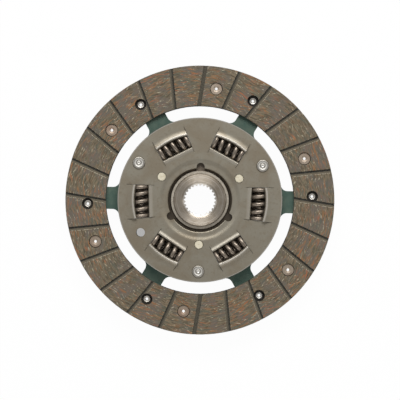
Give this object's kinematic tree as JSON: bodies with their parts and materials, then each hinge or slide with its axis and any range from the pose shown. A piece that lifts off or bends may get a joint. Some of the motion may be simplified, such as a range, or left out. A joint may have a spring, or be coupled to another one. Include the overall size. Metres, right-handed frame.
{
  "type": "clutch disc",
  "caption": "Sprung clutch disc: two riveted friction facings on a cushion disc, and a splined hub held between two guide plates by damper springs.",
  "frame": {"origin": "on the hub's axis, in the middle plane of the cushion disc, half way between the two facings", "axes": "+Z along the hub's axis to the pictured front face, +X along one arm of the cushion disc, +Y a quarter turn to the left of it"},
  "size_m": [0.2, 0.2, 0.027],
  "materials": {
    "facing": "pressed organic friction lining with yarn swirls",
    "cushion_steel": "green-grey phosphated spring sheet",
    "plate_steel": "dull warm grey pressed sheet",
    "hub_steel": "forged steel with turned faces",
    "cream_plastic": "moulded cream plastic",
    "friction_lining": "brown friction lining",
    "washer_steel": "plain rolled steel",
    "bush_plastic": "dark moulded plastic",
    "spring_steel": "dark oiled spring wire",
    "pin_steel": "bright formed steel",
    "rivet_metal": "dull coppered rivet metal"
  },
  "bodies": {
    "disc": {"front_facing": "facing", "rear_facing": "facing", "cushion_disc": "cushion_steel", "front_guide_plate": "plate_steel", "rear_guide_plate": "plate_steel", "friction_ring": "cream_plastic", "friction_washer": "friction_lining", "support_washer": "washer_steel", "cone_spring_washer": "washer_steel", "centring_bush": "bush_plastic", "stop_pin_1": "pin_steel", "stop_pin_2": "pin_steel", "stop_pin_3": "pin_steel", "front_rivet_1": "rivet_metal", "front_rivet_2": "rivet_metal", "front_rivet_3": "rivet_metal", "front_rivet_4": "rivet_metal", "front_rivet_5": "rivet_metal", "front_rivet_6": "rivet_metal", "rear_rivet_1": "rivet_metal", "rear_rivet_2": "rivet_metal", "rear_rivet_3": "rivet_metal", "rear_rivet_4": "rivet_metal", "rear_rivet_5": "rivet_metal", "rear_rivet_6": "rivet_metal"},
    "hub": {"splined_hub": "hub_steel"},
    "springs": {"damper_spring_1": "spring_steel", "damper_spring_2": "spring_steel", "damper_spring_3": "spring_steel", "damper_spring_4": "spring_steel", "damper_spring_5": "spring_steel", "damper_spring_6": "spring_steel"}
  },
  "joints": [
    {"name": "damper_twist", "type": "hinge", "parent": "disc", "child": "hub", "pos_m": [0, 0, 0], "axis": [0, 0, 1], "range_deg": [-8, 8], "stiffness_Nm_per_rad": 700, "deforming": ["damper_spring_1", "damper_spring_2", "damper_spring_3", "damper_spring_4", "damper_spring_5", "damper_spring_6"]},
    {"name": "spring_shift", "type": "hinge", "parent": "disc", "child": "springs", "pos_m": [0, 0, 0], "axis": [0, 0, 1], "range_deg": [-4.1, 4.1]}
  ],
  "couplings": [
    {"joint": "spring_shift", "follows": "damper_twist", "ratio": 0.5}
  ]
}
